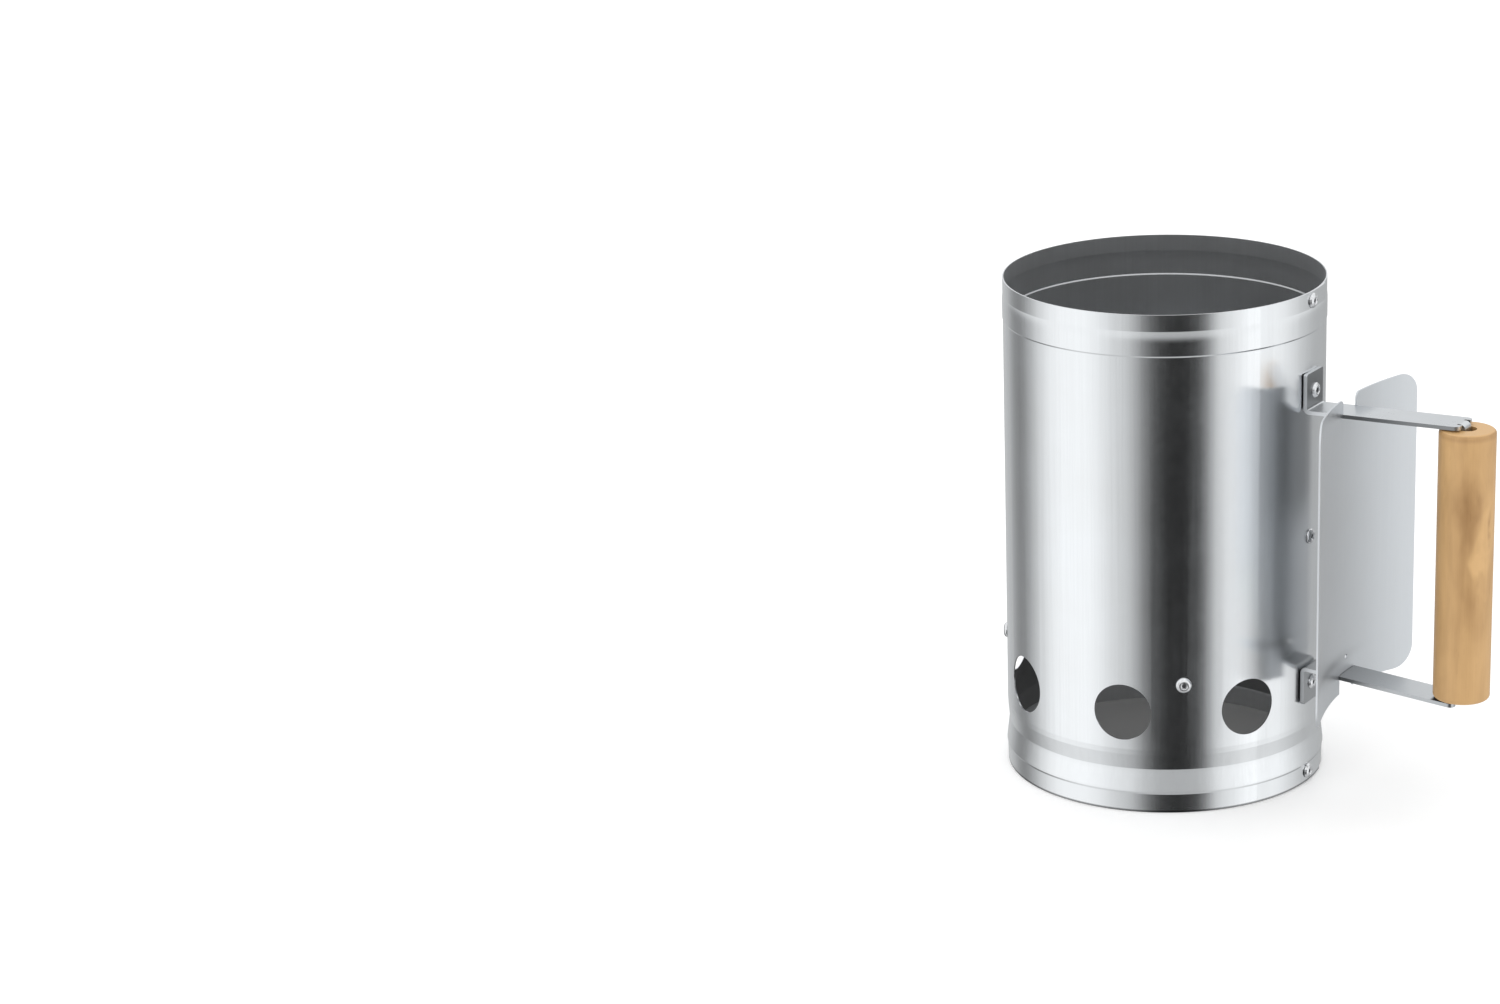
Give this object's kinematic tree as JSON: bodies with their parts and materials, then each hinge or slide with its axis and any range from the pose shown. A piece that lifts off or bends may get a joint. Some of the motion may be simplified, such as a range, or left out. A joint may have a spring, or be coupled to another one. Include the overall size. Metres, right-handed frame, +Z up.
{
  "type": "chimney charcoal starter",
  "caption": "Open steel tube that lights charcoal: air vents round the foot, a riveted grate inside, and a wooden grip on two arms behind a curved heat shield.",
  "frame": {"origin": "on the floor, at the centre of the open base, on the tube's axis", "axes": "+Z up the tube's axis to the mouth, +X along the two arms to the grip"},
  "size_m": [0.2835, 0.1782, 0.282],
  "materials": {
    "tube_steel": "satin brushed zinc coat",
    "grate_steel": "dull zinc coat",
    "arm_steel": "satin zinc coat",
    "shield_steel": "matte zinc coat",
    "rivet_aluminium": "bright",
    "pin_steel": "dull",
    "grip_wood": "smooth, clear sealed"
  },
  "bodies": {
    "starter": {"tube_shell": "tube_steel", "charcoal_grate": "grate_steel", "upper_arm": "arm_steel", "lower_arm": "arm_steel", "heat_shield": "shield_steel", "seam_rivet_top": "rivet_aluminium", "seam_rivet_middle": "rivet_aluminium", "seam_rivet_bottom": "rivet_aluminium", "upper_arm_rivet": "rivet_aluminium", "lower_arm_rivet": "rivet_aluminium", "grate_rivet_1": "rivet_aluminium", "grate_rivet_2": "rivet_aluminium", "grate_rivet_3": "rivet_aluminium", "grate_rivet_4": "rivet_aluminium", "seam_rivet_top_pin": "pin_steel", "seam_rivet_middle_pin": "pin_steel", "seam_rivet_bottom_pin": "pin_steel", "upper_arm_rivet_pin": "pin_steel", "lower_arm_rivet_pin": "pin_steel", "grate_rivet_1_pin": "pin_steel", "grate_rivet_2_pin": "pin_steel", "grate_rivet_3_pin": "pin_steel", "grate_rivet_4_pin": "pin_steel"},
    "grip": {"wood_grip": "grip_wood"}
  },
  "joints": [
    {"name": "grip_spin", "type": "hinge", "parent": "starter", "child": "grip", "pos_m": [0.1792, 0, 0.1419], "axis": [0, 0, 1], "continuous": true}
  ]
}
